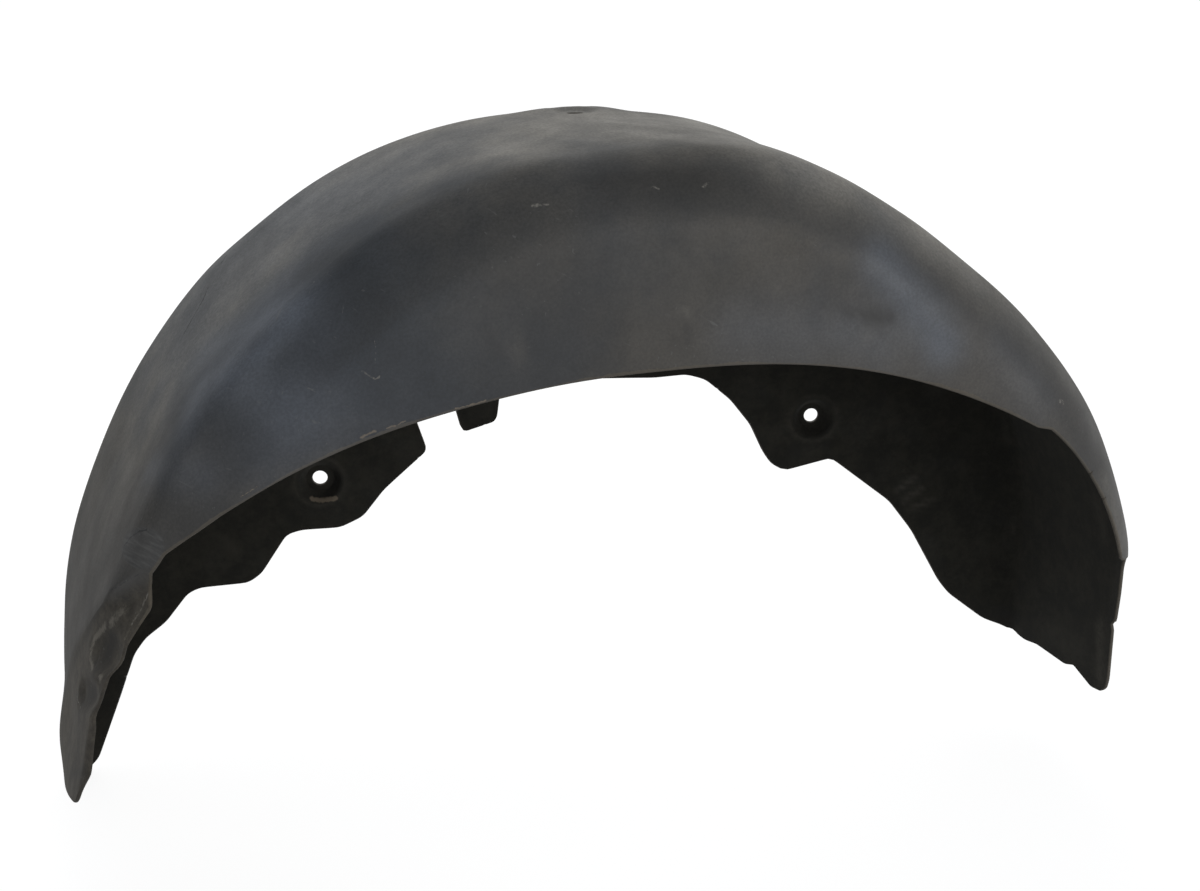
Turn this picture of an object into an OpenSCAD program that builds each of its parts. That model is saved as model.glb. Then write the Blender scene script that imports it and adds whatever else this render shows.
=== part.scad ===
// Wheel arch liner: one moulded plastic shell that lines the body side of a car's wheel arch.
// X runs along the car, Y points inboard and Z is up. A half-round crown joins an outboard wall,
// seen from beside the car, to a deeper inboard wall that is fixed through dished holes.
// The frame's origin is the seat of the hole in the crown.

/* [Arch] */
// Radius of the crown's body side about the arch centre
crown_r = 380; // [368:1:392]
// Swell of the crown over the haunch of the short leg
short_rise = 7; // [4:1:10]
// How far the short leg swings out past the haunch
short_flare = 36; // [28:1:42]
// How much flatter the crown is over the long leg
long_flat = 10; // [6:1:14]
// How far the long leg swings out past the crown's circle
long_flare = 12; // [8:1:16]
// Rise of the crown towards the inboard wall, in degrees
crown_tilt = 1.5; // [0:0.5:2.5]
// Foot of the short leg below the arch centre
short_leg = 92; // [86:1:102]
// Foot of the long leg below the arch centre, at the inboard wall
long_leg = 152; // [142:1:164]
// Thickness of the moulded sheet
sheet = 3; // [2.6:0.1:3.6]

/* [Outboard wall] */
// Outboard wall from the middle plane, at the crown
outboard_y = 125; // [115:1:135]
// Height of the outboard wall at the top of the arch
outboard_h = 142; // [130:1:156]
// Drop of the trimmed edge of the outboard wall, 260 away from its top
window_drop = 53; // [47:1:60]
// Radius of the soft shoulder between crown and outboard wall
shoulder_r = 55; // [48:1:60]
// Depth of the lip that is left round the short leg
lip_depth = 12; // [9:1:16]
// Lean of the outboard wall, in degrees
outboard_draft = 2; // [1:0.5:4]
// How deep the flap on the long leg is pressed in, at its near edge
flap_deep = 22; // [16:1:26]
// How far the toe of the long leg kicks out
toe_kick = 9; // [5:1:12]

/* [Inboard wall] */
// Inboard wall from the middle plane, at the top of the arch
inboard_y = 126; // [118:1:134]
// Turn of the inboard wall in plan, in degrees
inboard_turn = 7; // [5:0.5:9]
// Lean of the inboard wall, in degrees
inboard_draft = 5; // [3:0.5:7]
// Radius of the corner between crown and inboard wall
corner_r = 15; // [10:1:18]

/* [Fixing holes] */
// Bore of each fixing hole
hole_d = 12; // [10:0.5:13]
// Floor of each dish
dish_floor_d = 24; // [22:1:27]
// Mouth of each dish
dish_mouth_d = 36; // [33:1:40]
// Depth of the dishes in the inboard wall
dish_deep = 8; // [6:0.5:9]
// Depth of the shallow dish in the crown
dish_shallow = 2; // [1.5:0.5:3]

/* [Hidden] */
plastic = "#3c3e40";

// Stations round the arch, in degrees, carried on straight down each leg to just past its foot
mm_per_deg = PI * crown_r / 180;
spare = 6;
first_station = -(short_leg + spare) / mm_per_deg;
last_station = 180 + (long_leg + spare) / mm_per_deg;
coarse = 3;
fine = 1.5;
fine_from = 147;
stations = concat(
    [for (a = [first_station : coarse : fine_from - 1]) a],
    [for (a = [fine_from : fine : last_station - 0.5]) a],
    [last_station]
);
shoulder_steps = 8;
crown_steps = 4;
corner_steps = 4;

// Places of the fixing holes, from the arch centre: X and Z on the walls, X and Y on the crown
long_hole = [-183, 84];
short_hole = [232, 114];
crown_hole = [15, 92];
// Ways that the two inboard dishes are pressed: turn in plan and lift, in degrees
long_seat = [10, 6];
short_seat = [9, 4];

function smooth(t) = let (u = min(1, max(0, t))) u * u * (3 - 2 * u);

function crown(a) = crown_r
    + short_rise * (smooth((95 - a) / 22) - 0.5 * smooth((66 - a) / 20))
    + short_flare * smooth((55 - a) / 48)
    - long_flat * smooth((a - 98) / 40)
    + (long_flat + long_flare) * smooth((a - 150) / 46);

function shoulder(a) = shoulder_r * (1 - 0.7 * smooth((a - 146) / 17));

// A point at station a, depth t below the crown's body side
function out_x(a) = a < 0 ? 1 : a > 180 ? -1 : cos(a);
function out_z(a) = a < 0 || a > 180 ? 0 : sin(a);
function leg_z(a) = a < 0 ? a * mm_per_deg : a > 180 ? (180 - a) * mm_per_deg : 0;
function px(a, t) = (crown(a) - t) * out_x(a);
function pz(a, t) = (crown(a) - t) * out_z(a) + leg_z(a);

// The flap on the long leg lies below a crease that runs inboard as it goes down.
// It is pressed in, from nothing at the crease to its full depth at the near edge.
near_edge = -105;
crease_top = [-70, 97];
crease_slope = 1.27;
flap_top = 150;
flap_blend = 42;
flap_end = -20;
function crease_y(z) = crease_top[0] + crease_slope * max(0, crease_top[1] - z);
function flap(y, z) =
    let (
        c = crease_y(z),
        share = min(1, max(0, (c - y) / (c - near_edge))),
        fade = min(1, max(0, (z - flap_end) / (crease_top[1] + 8 - flap_end)))
    )
    flap_deep * share * smooth((flap_top - z) / flap_blend) * fade * fade;

// The toe kicks out below a second crease, nearly level
toe_top = -4;
toe_slope = 0.21;
toe_blend = 36;
function toe(y, z) = toe_kick * smooth((toe_top - toe_slope * (y - near_edge) - z) / toe_blend);

// Wall lines: Y where each wall would meet the crown, and its slope against depth
out_slope = tan(outboard_draft);
function in_slope(a) = tan(inboard_draft) + tan(inboard_turn) * out_x(a);
function in_y(a) = inboard_y - tan(inboard_turn) * crown(a) * out_x(a);

// Centre of a corner of radius r tangent to the crown and to a wall of the given slope
function corner_y(r, y, slope) = y + slope * r - r * sqrt(1 + slope * slope);

// Depth that each wall is moulded to before it is trimmed: the outboard one is short on the legs
lip_moulded = 66;
function outboard_depth(a) =
    lip_moulded + (outboard_h + 14 - lip_moulded) * smooth((a - 14) / 40) * smooth((172 - a) / 36);
inboard_depth = 252;

// One section of the sheet, s inside the body side, as [depth, y]
function section(a, s) =
    let (
        ro = shoulder(a),
        yo = -corner_y(ro, outboard_y, out_slope),
        bo = 90 - outboard_draft,
        to = ro - (ro - s) * cos(bo),
        mi = in_slope(a),
        yi = corner_y(corner_r, in_y(a), mi),
        bi = 90 - atan(mi),
        yc = a < 90 ? (yo + yi) / 2 : max(yo + 8, min(yi - 8, crease_y(pz(a, s)))),
        ti = corner_r - (corner_r - s) * cos(bi)
    )
    concat(
        [let (t = outboard_depth(a)) [t, yo - (ro - s) * sin(bo) - (t - to) * out_slope]],
        [for (i = [0 : shoulder_steps])
            let (b = bo * (1 - i / shoulder_steps))
            [ro - (ro - s) * cos(b), yo - (ro - s) * sin(b)]],
        [for (i = [1 : crown_steps]) [s, yo + (yc - yo) * i / crown_steps]],
        [for (i = [1 : crown_steps]) [s, yc + (yi - yc) * i / crown_steps]],
        [for (i = [1 : corner_steps])
            let (b = bi * i / corner_steps)
            [corner_r - (corner_r - s) * cos(b), yi + (corner_r - s) * sin(b)]],
        [[inboard_depth, yi + (corner_r - s) * sin(bi) + (inboard_depth - ti) * mi]]
    );

// The rise of the crown towards the inboard side lifts every point by its Y
rise = tan(crown_tilt);
function place(a, p) =
    let (
        t = p[0] - rise * p[1],
        z = pz(a, t),
        press = a > 90 ? flap(p[1], z) - toe(p[1], z) : 0
    )
    [px(a, t + press), p[1], pz(a, t + press)];

// A closed loop round one station: along the body side and back along the wheel side
function loop(a) =
    let (outer = section(a, 0), inner = section(a, sheet), n = len(outer))
    concat(
        [for (p = outer) place(a, p)],
        [for (i = [n - 1 : -1 : 0]) place(a, inner[i])]
    );

module moulded_sheet() {
    rings = [for (a = stations) loop(a)];
    last = len(rings) - 1;
    n = len(rings[0]);
    half = n / 2;
    function id(i, j) = i * n + j % n;
    points = [for (r = rings) each r];
    sides = [for (i = [0 : last - 1], j = [0 : n - 1]) each
        [[id(i, j), id(i + 1, j), id(i + 1, j + 1)], [id(i, j), id(i + 1, j + 1), id(i, j + 1)]]];
    foot = [for (j = [0 : half - 2]) each
        [[j, j + 1, n - 2 - j], [j, n - 2 - j, n - 1 - j]]];
    top = last * n;
    far_foot = [for (j = [0 : half - 2]) each
        [[top + j, top + n - 2 - j, top + j + 1], [top + j, top + n - 1 - j, top + n - 2 - j]]];
    polyhedron(points, concat(sides, foot, far_foot), convexity = 8);
}

// Outline that trims the outboard wall, as seen from beside the car.
// Past the top's long curve, the lip round the short leg narrows towards the foot.
window_top = [5, crown_r - outboard_h];
lip_swell = 36;
function window(x) = [x, window_top[1] - window_drop * pow(abs(x - window_top[0]) / 260, 2.6)];
function below(a, t) = [px(a, t + rise * outboard_y), pz(a, t + rise * outboard_y)];
module window_outline() {
    polygon(concat(
        [[-300, -300], [-332, 60], [-332, 113], [-330, 128], [-322, 140], [-309, 150]],
        [for (x = [-285 : 15 : 300]) window(x)],
        [for (a = [28 : -4 : -12]) below(a, lip_depth + lip_swell * pow((a + 12) / 40, 1.7))],
        [below(-30, lip_depth), [300, -300]]
    ));
}

// Wavy outline that trims the inboard wall, with its rectangular notch and tab
module wavy_outline() {
    offset(r = 5) offset(delta = -5) polygon([
        [-500, -258], [-376, -141], [-353, -85], [-340, -51], [-330, -38], [-313, -26],
        [-294, -3], [-284, 1], [-245, 1], [-234, 8], [-212, 40], [-200, 43], [-168, 42],
        [-149, 50], [-131, 72], [-94, 104], [-110, 154], [-76, 159], [-65, 117], [-36, 125],
        [-32, 160], [95, 156], [122, 158], [138, 153], [160, 134], [178, 111], [190, 86],
        [198, 74], [210, 67], [238, 74], [250, 77], [303, 35], [324, 7], [351, -42],
        [361, -55], [394, -81], [440, -100], [440, -320]
    ]);
}

// Near edge and foot of the short leg, as Y and Z, with a small nick in the edge
module short_leg_outline() {
    polygon([
        [-220, 60], [-128, 52], [-97, 44], [-91, 32], [-91, 8], [-88, -17], [-80, -22],
        [-84, -26], [-84, 22 - short_leg], [-81, 12 - short_leg], [-73, 6 - short_leg],
        [-60, 4 - short_leg], [-32, 11 - short_leg], [-19, 6 - short_leg], [27, 4 - short_leg],
        [50, -1 - short_leg], [68, 2 - short_leg], [90, -short_leg], [220, -short_leg],
        [220, -260], [-220, -260]
    ]);
}

// Near edge, tip and slanted foot of the long leg, as Y and Z
module long_leg_outline() {
    polygon([
        [-220, 140], [-126, 134], [near_edge, 112], [near_edge, -8], [near_edge + 14, -35],
        [180, -long_leg], [260, -long_leg - 10], [260, -260], [-220, -260]
    ]);
}

// Y of the inboard wall's body side at a place on it
function wall_y(p) =
    let (a = atan2(p[1], p[0]), t = crown(a) - norm(p))
    (in_y(a) + in_slope(a) * t) / (1 - in_slope(a) * rise);

// Height of the crown's body side over the arch centre, and the seat of its hole
function crown_z(p) =
    let (r = crown(90) + rise * p[1])
    sqrt(r * r - p[0] * p[0]);
crown_seat = crown_z(crown_hole) - dish_shallow;

// Turns local Z to the way that a dish is pressed, at its mouth on the wheel side
module at_wall(p, seat) {
    translate([p[0], wall_y(p) - sheet, p[1]]) rotate([seat[1], 0, -seat[0]]) rotate([-90, 0, 0]) children();
}

// A dish is a round frustum: solid where it stands out, and hollow where it is pressed in.
// The solid starts inside the sheet, so that only its far side shows.
dish_side = (dish_mouth_d - dish_floor_d) / 2;
sunk = 0.6 * sheet;
clear = 6;
module dish_boss(deep) {
    slope = dish_side / deep;
    floor_d = dish_floor_d + 2 * sheet * (sqrt(1 + slope * slope) - slope);
    translate([0, 0, sunk])
        cylinder(h = deep + sheet - sunk, d1 = floor_d + 2 * slope * (deep + sheet - sunk),
            d2 = floor_d, $fn = 64);
}
module dish_hollow(deep) {
    slope = dish_side / deep;
    translate([0, 0, -clear])
        cylinder(h = deep + clear, d1 = dish_floor_d + 2 * slope * (deep + clear),
            d2 = dish_floor_d, $fn = 64);
    cylinder(h = deep + sheet + clear, d = hole_d, $fn = 64);
}

// Turns local Z down into the crown, at its hole
module at_crown() {
    translate([crown_hole[0], crown_hole[1], crown_seat + dish_shallow]) mirror([0, 0, 1]) children();
}

// Cutters: along Y through a wall, and along X through a leg
reach = 160;
module along_y(y0, y1) {
    translate([0, y1, 0]) rotate([90, 0, 0]) linear_extrude(y1 - y0) children();
}
module along_x(x) {
    translate([x - reach / 2, 0, 0]) rotate([90, 0, 90]) linear_extrude(reach) children();
}

module arch_liner() {
    color(plastic)
    translate([-crown_hole[0], -crown_hole[1], -crown_seat])
    difference() {
        union() {
            difference() {
                moulded_sheet();
                along_y(-240, -60) window_outline();
                along_y(45, 300) wavy_outline();
                along_x(crown_r) short_leg_outline();
                along_x(-crown_r) long_leg_outline();
            }
            at_wall(long_hole, long_seat) dish_boss(dish_deep);
            at_wall(short_hole, short_seat) dish_boss(dish_deep);
            at_crown() dish_boss(dish_shallow);
        }
        at_wall(long_hole, long_seat) dish_hollow(dish_deep);
        at_wall(short_hole, short_seat) dish_hollow(dish_deep);
        at_crown() dish_hollow(dish_shallow);
    }
}

arch_liner();
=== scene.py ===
# %% [markdown]
# # A wheel arch liner
# The liner is one moulded shell of black plastic. A half-round crown goes over the tyre, a short
# outboard wall faces the road and a deeper inboard wall is fixed to the car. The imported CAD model
# is loaded first, as the frame that every measurement here is tied to.

import math

import bpy
import numpy as np
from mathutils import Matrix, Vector


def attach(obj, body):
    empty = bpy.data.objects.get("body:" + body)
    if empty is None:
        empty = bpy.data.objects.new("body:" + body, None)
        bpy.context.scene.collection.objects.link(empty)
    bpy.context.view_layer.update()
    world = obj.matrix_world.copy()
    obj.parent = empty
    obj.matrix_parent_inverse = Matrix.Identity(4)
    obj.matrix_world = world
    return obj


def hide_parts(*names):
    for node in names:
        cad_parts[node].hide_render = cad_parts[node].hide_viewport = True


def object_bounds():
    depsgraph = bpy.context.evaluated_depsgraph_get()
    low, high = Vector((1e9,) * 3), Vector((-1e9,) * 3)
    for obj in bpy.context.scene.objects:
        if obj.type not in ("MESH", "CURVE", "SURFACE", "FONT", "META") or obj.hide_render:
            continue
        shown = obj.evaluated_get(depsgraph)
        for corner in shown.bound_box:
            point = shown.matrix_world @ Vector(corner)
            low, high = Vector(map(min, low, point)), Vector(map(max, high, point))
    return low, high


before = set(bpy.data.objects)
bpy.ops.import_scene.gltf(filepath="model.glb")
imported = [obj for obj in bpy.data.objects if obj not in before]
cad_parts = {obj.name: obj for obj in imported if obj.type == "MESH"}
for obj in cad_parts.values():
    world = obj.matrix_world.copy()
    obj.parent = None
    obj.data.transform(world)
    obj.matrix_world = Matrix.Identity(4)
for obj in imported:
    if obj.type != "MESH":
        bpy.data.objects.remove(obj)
cad_box = [list(corner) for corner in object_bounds()]
print("CAD box in metres:", np.round(cad_box, 4).tolist())

# %% [markdown]
# ## Camera
# The photograph was taken from the outboard side, 18 degrees round towards the long leg and 18
# degrees above the level, with a lens like 50 mm on a 36 mm sensor. The camera comes first, so
# that each later piece can be judged in its view.

# %% Camera
def put_in_scene(name, data):
    """A new object in the scene, made of a camera, a mesh or a lamp."""
    item = bpy.data.objects.new(name, data)
    bpy.context.scene.collection.objects.link(item)
    return item


camera_data = bpy.data.cameras.new("camera")
camera_data.lens, camera_data.sensor_width, camera_data.clip_end = 50, 36, 50
camera = put_in_scene("camera", camera_data)
camera.location = (-0.3774, -1.2226, 0.1512)
look_at = Vector((-0.010, -0.092, -0.235))
camera.rotation_euler = (look_at - camera.location).to_track_quat("-Z", "Y").to_euler()
bpy.context.scene.camera = camera
turn_camera = np.array(camera.rotation_euler.to_matrix())
FRAME_W, FRAME_H = 1200, 891
PIXELS = FRAME_W * camera_data.lens / camera_data.sensor_width
print("camera", round((look_at - camera.location).length, 3), "m from the liner")

# %% [markdown]
# ## Dimensions
# Every dimension is in millimetres from the centre of the arch, with X along the car, Y inboard
# and Z up, as a mould maker would draw it. The frame's origin is the seat of the hole in the
# crown, so one shift and one factor take the finished points into the frame.

# %% Dimensions, in millimetres and degrees
CROWN_R, SHEET = 380.0, 3.0
SHORT_RISE, SHORT_FLARE, LONG_FLAT, LONG_FLARE = 7.0, 36.0, 10.0, 12.0
SHORT_LEG, LONG_LEG = 92.0, 152.0
OUTBOARD_Y, OUTBOARD_H, WINDOW_DROP, SHOULDER_R = 125.0, 142.0, 53.0, 55.0
PAST_WINDOW = 14.0
LIP_DEPTH, LIP_SWELL, LIP_MOULDED = 12.0, 36.0, 66.0
INBOARD_Y, INBOARD_DEPTH, CORNER_R = 126.0, 252.0, 15.0
FLAP_DEEP, TOE_KICK, TOE_TOP, TOE_SLANT, NEAR_EDGE = 22.0, 8.0, 6.0, 0.21, -110.0
CREASE_Y, CREASE_TOP, CREASE_SLANT, CRACK_TOP, CRACK_SLANT = -70.0, 97.0, 1.27, 100.0, 0.71
RISE = math.tan(math.radians(1.5))
OUT_DRAFT = math.radians(2.0)
IN_DRAFT, IN_TURN = math.tan(math.radians(5.0)), math.tan(math.radians(7.0))
MM_PER_DEG = math.pi * CROWN_R / 180
ORIGIN = np.array([15.0, 92.0, 381.036])


def smooth(t):
    """Soft step: 0 below 0, 1 above 1, and 3tt - 2ttt between."""
    t = np.clip(t, 0, 1)
    return t * t * (3 - 2 * t)


def crown(a):
    """Radius of the crown at station a: a circle with a swelling haunch, a flared short leg,
    and a long leg that is first flatter and then swings out."""
    haunch = SHORT_RISE * (smooth((95 - a) / 22) - 0.5 * smooth((66 - a) / 20))
    flares = SHORT_FLARE * smooth((55 - a) / 48) - LONG_FLAT * smooth((a - 98) / 40)
    return CROWN_R + haunch + flares + (LONG_FLAT + LONG_FLARE) * smooth((a - 150) / 46)


# %% [markdown]
# ## The moulded sheet
# A liner like this is formed over a mould, so its shape is one smooth sheet. It could be modelled
# by pushing points about, but the section is nearly the same all round the arch. So the sheet is
# a function of two parameters: the station round the arch, in degrees, and the way across, which
# runs down the outboard wall, shoulder, crown, corner and inboard wall as 0 to 6.

# %% Section and place of the sheet
def out_x(a):
    """Cosine of the station, held at 1 and -1 where the legs go straight down."""
    return np.cos(np.radians(np.clip(a, 0, 180)))


def on_arch(a, t):
    """X and Z at depth t below the crown: along the radius, plus the fall of a straight leg."""
    below = MM_PER_DEG * (np.minimum(a, 0) + np.minimum(180 - a, 0))
    r = crown(a) - t
    return r * out_x(a), r * np.sin(np.radians(np.clip(a, 0, 180))) + below


def corner_centre(r, y, slope):
    """Y of the centre of a corner of radius r that touches the crown and a sloping wall."""
    return y + slope * r - r * np.sqrt(1 + slope * slope)


def crease_y(z):
    """Y of the flap's crease at height z: level at its top, then a straight slant inboard."""
    return CREASE_Y + CREASE_SLANT * np.maximum(0, CREASE_TOP - z)


def flap(y, z, shoulder):
    """Depth of the flap past that of the soft shoulder. It is a plane that falls in a straight
    line from the crease to the near edge, and it starts under a short slanting crack."""
    crease = crease_y(z)
    share = np.clip((crease - y) / (crease - NEAR_EDGE), 0, 1)
    fade = np.clip((z + 20) / 125, 0, 1)
    under_crack = smooth((CRACK_TOP - CRACK_SLANT * (y - CREASE_Y) - z + 2) / 12)
    return np.maximum(0, FLAP_DEEP * share * fade * fade - shoulder) * under_crack


def toe(y, z):
    """How far the toe kicks out below the second crease, which slants too."""
    return TOE_KICK * smooth((TOE_TOP - TOE_SLANT * (y - NEAR_EDGE) - z) / 64)


def sheet_points(a, v, s):
    """Points of the sheet at station a, way across v and s inside the body side. Each of the six
    parts of the section adds its own step once v has reached it: an arc turns by its share of
    its angle, and a straight part goes its share of its length."""
    part = [np.clip(v - i, 0, 1) for i in range(6)]
    r_out = SHOULDER_R * (1 - 0.45 * smooth((a - 158) / 24))
    slope_out, slope_in = math.tan(OUT_DRAFT), IN_DRAFT + IN_TURN * out_x(a)
    y_out = -corner_centre(r_out, OUTBOARD_Y, slope_out)
    y_in = corner_centre(CORNER_R, INBOARD_Y - IN_TURN * crown(a) * out_x(a), slope_in)
    full_out, full_in = math.pi / 2 - OUT_DRAFT, math.pi / 2 - np.arctan(slope_in)
    turn_out, turn_in = full_out * (1 - part[1]), full_in * part[4]
    # the sheet is moulded a little past the window, and the wall is only a lip by both ends
    deeper = (OUTBOARD_H + PAST_WINDOW - LIP_MOULDED) * smooth((a - 14) / 40)
    deeper = deeper * smooth((172 - a) / 36)
    down_out = (LIP_MOULDED + deeper - r_out + (r_out - s) * math.cos(full_out)) * (1 - part[0])
    down_in = (INBOARD_DEPTH - CORNER_R + (CORNER_R - s) * np.cos(full_in)) * part[5]
    crease = np.clip(crease_y(on_arch(a, s)[1]), y_out + 8, y_in - 8)
    fold = (y_out + y_in) / 2 + smooth((a - 95) / 30) * (crease - (y_out + y_in) / 2)
    shoulder = (r_out - s) * (1 - np.cos(turn_out)) + down_out
    depth = s + shoulder + (CORNER_R - s) * (1 - np.cos(turn_in)) + down_in
    y = y_out - (r_out - s) * np.sin(turn_out) - down_out * slope_out
    y = y + (fold - y_out) * part[2] + (y_in - fold) * part[3]
    y = y + (CORNER_R - s) * np.sin(turn_in) + down_in * slope_in
    t = depth - RISE * y
    z = on_arch(a, t)[1]
    x, z = on_arch(a, t + np.where(a > 90, flap(y, z, shoulder) - toe(y, z), 0))
    return np.stack([x, y, z], -1)


print("crown's middle at the top:", np.round(sheet_points(np.float64(90), np.float64(3), 0), 1))

# %% [markdown]
# ## Trim lines
# The moulded sheet is trimmed with a saw or a knife, along lines that are simple from the side or
# from the end. A Boolean could cut it, but it leaves ragged triangles along the cut. Here each
# line is an outline in a plane, and what is needed is only the distance of every point from it.

# %% Trim lines
def rounded(corners, r):
    """The outline with each corner swapped for a curve that starts and ends r from it, or a
    third of the side where that is less: (1-t)(1-t) before + 2t(1-t) corner + tt after."""
    c = np.array(corners, float)
    ways = [np.roll(c, 1, 0) - c, np.roll(c, -1, 0) - c]
    ends = []
    for way in ways:
        length = np.linalg.norm(way, axis=1, keepdims=True)
        ends.append(c + way / length * np.minimum(r, length / 3))
    t = np.linspace(0, 1, 5)[None, :, None]
    curve = (1 - t) ** 2 * ends[0][:, None] + 2 * t * (1 - t) * c[:, None] + t**2 * ends[1][:, None]
    return curve.reshape(-1, 2)


def depth_inside(outline, p, q):
    """Distance of each point (p, q) from the outline, positive inside it. The nearest point of
    each side gives the distance, and the sides crossed to the right of the point give the sign."""
    start, end = outline, np.roll(outline, -1, 0)
    way = end - start
    off_p, off_q = p[..., None] - start[:, 0], q[..., None] - start[:, 1]
    along = np.clip((off_p * way[:, 0] + off_q * way[:, 1]) / (way**2).sum(1), 0, 1)
    gap = np.hypot(off_p - along * way[:, 0], off_q - along * way[:, 1]).min(-1)
    spans = (start[:, 1] > q[..., None]) != (end[:, 1] > q[..., None])
    with np.errstate(divide="ignore", invalid="ignore"):
        crosses = spans & (p[..., None] < start[:, 0] + way[:, 0] * off_q / way[:, 1])
    return np.where(crosses.sum(-1) % 2 == 1, gap, -gap)


def window(x):
    """Height of the outboard wall's edge: flat at the top, falling ever faster to both sides,
    with a slight sag on the long leg's side and a slight lift by the lip."""
    sag = 5.0 * np.exp(-(((x + 140) / 105) ** 2))
    lift = 4.5 * (np.maximum(0, x - 200) / 100) ** 2
    return CROWN_R - OUTBOARD_H - WINDOW_DROP * (np.abs(x - 5) / 260) ** 2.6 - sag + lift


along_top = np.arange(-285, 301, 7.5)
along_lip = np.arange(28, -13, -2.0)
lip = on_arch(along_lip, LIP_DEPTH + LIP_SWELL * ((along_lip + 12) / 40) ** 1.7 + RISE * OUTBOARD_Y)
lip_end = on_arch(np.float64(-30), LIP_DEPTH + RISE * OUTBOARD_Y)
window_line = np.array(
    [[-300, -300], [-332, 60], [-332, 113], [-330, 128], [-322, 140], [-309, 150]]
    + np.stack([along_top, window(along_top)], 1).tolist()
    + np.stack(lip, 1).tolist()
    + [list(lip_end), [300, -300]]
)
wavy_line = rounded(
    [[-500, -258], [-376, -141], [-353, -85], [-340, -51], [-330, -38], [-313, -26], [-294, -3],
     [-284, 1], [-245, 1], [-234, 8], [-212, 40], [-200, 43], [-168, 42], [-149, 50], [-131, 72],
     [-94, 104], [-110, 154], [-76, 159], [-65, 117], [-36, 125], [-32, 160], [95, 156],
     [122, 158], [138, 153], [160, 134], [178, 111], [190, 86], [198, 74], [210, 67], [238, 74],
     [250, 77], [303, 35], [324, 7], [351, -42], [361, -55], [394, -81], [440, -100],
     [440, -320]], 5)
short_leg_line = rounded(
    [[-220, 60], [-128, 52], [-97, 44], [-91, 32], [-91, 8], [-88, -17], [-80, -22], [-84, -26],
     [-84, -70], [-81, -80], [-73, -86], [-60, -88], [-32, -81], [-19, -86], [27, -88], [50, -93],
     [68, -90], [90, -92], [220, -92], [220, -260], [-220, -260]], 2)
long_leg_line = rounded(
    [[-220, 140], [-128, 134], [-110, 116], [-110, -8], [-94, -35], [180, -LONG_LEG],
     [260, -LONG_LEG - 10], [260, -260], [-220, -260]], 3)

FAR_OFF = -99.0
RIM = 1.1


def past_trim(points):
    """How far each point is past the trim lines, negative where the sheet stays."""
    x, y, z = np.moveaxis(points, -1, 0)
    past = np.full(x.shape, FAR_OFF)
    cuts = [(window_line, x, z, y < -60), (wavy_line, x, z, y > 45),
            (short_leg_line, y, z, x > 300), (long_leg_line, y, z, x < -300)]
    for line, p, q, where in cuts:
        past[where] = np.maximum(past[where], depth_inside(line, p[where], q[where]))
    return past + RIM


print("trim lines with", [len(line) for line in (window_line, wavy_line, short_leg_line)], "points")

# %% [markdown]
# ## Dishes
# Each fixing hole sits in the floor of a round dish. The two in the inboard wall are pressed 8 mm
# towards the car's body, and the one in the crown is 2 mm deep. A dish turns round its own axis,
# so the sheet gets a round gap there, and rings of points fill it down to the bore.

# %% Places of the dishes
def wall_y(x, z):
    """Y of the inboard wall's body side over a place (x, z)."""
    a = np.degrees(np.arctan2(z, x))
    slope = IN_DRAFT + IN_TURN * out_x(a)
    foot = INBOARD_Y - IN_TURN * crown(a) * out_x(a)
    return (foot + slope * (crown(a) - np.hypot(x, z))) / (1 - slope * RISE)


def pressed(turn, lift):
    """Unit vector towards the body: level with Y, then turned in plan and lifted."""
    turn, lift = math.radians(turn), math.radians(lift)
    level = math.cos(lift)
    return np.array([math.sin(turn) * level, math.cos(turn) * level, math.sin(lift)])


BORE_R, FLOOR_R, MOUTH_R, NEAR_DISH = 6.0, 12.0, 18.0, 15.0
GAP_R = MOUTH_R + 3
hole_x, hole_y = ORIGIN[:2]
crown_top = math.sqrt((crown(90) + RISE * hole_y) ** 2 - hole_x**2)
# name: (middle of the mouth on the hollow side, way it is pressed, depth, hollow on the wheel side)
dishes = {
    "long leg": (np.array([-183, wall_y(-183, 84) - SHEET, 84]), pressed(10, 6), 8.0, True),
    "short leg": (np.array([232, wall_y(232, 114) - SHEET, 114]), pressed(9, 4), 8.0, True),
    "crown": (np.array([hole_x, hole_y, crown_top]), np.array([0, 0, -1.0]), 2.0, False),
}


def from_axis(points, middle, way):
    """Each point's distance from a dish's axis, and its height along it."""
    off = points - middle
    height = off @ way
    return np.linalg.norm(off - height[..., None] * way, axis=-1), height


def past_all(points):
    """How far each point is past the trim lines or inside the round gap of a dish."""
    past = past_trim(points)
    for middle, way, _, _ in dishes.values():
        radius, height = from_axis(points, middle, way)
        past = np.maximum(past, np.where(np.abs(height) < NEAR_DISH, GAP_R - radius, FAR_OFF))
    return past


print("dishes at", {name: np.round(d[0], 1).tolist() for name, d in dishes.items()})

# %% [markdown]
# ## Trimming the grid
# A grid cell that a trim line crosses is the hard part. Each point that has the line within half
# a cell is moved onto it, along the grid edge or the diagonal that it crosses. After that no edge
# crosses the line any more, so every triangle is wholly kept or wholly cut.

# %% Grid, moved onto the trim lines
def spread(*pieces):
    """Values along one way of the grid: each piece is (start, end, steps)."""
    runs = [np.linspace(start, end, steps, endpoint=False) for start, end, steps in pieces]
    return np.concatenate(runs + [[pieces[-1][1]]])


FIRST, LAST = -(SHORT_LEG + 6) / MM_PER_DEG, 180 + (LONG_LEG + 6) / MM_PER_DEG
stations = spread((FIRST, 146, 240), (146, LAST, 112))
across = spread((0, 1, 30), (1, 2, 16), (2, 3, 22), (3, 4, 13), (4, 5, 5), (5, 6, 54))
a, v = np.meshgrid(stations, across, indexing="ij")
past = past_all(sheet_points(a, v, 0))


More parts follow.
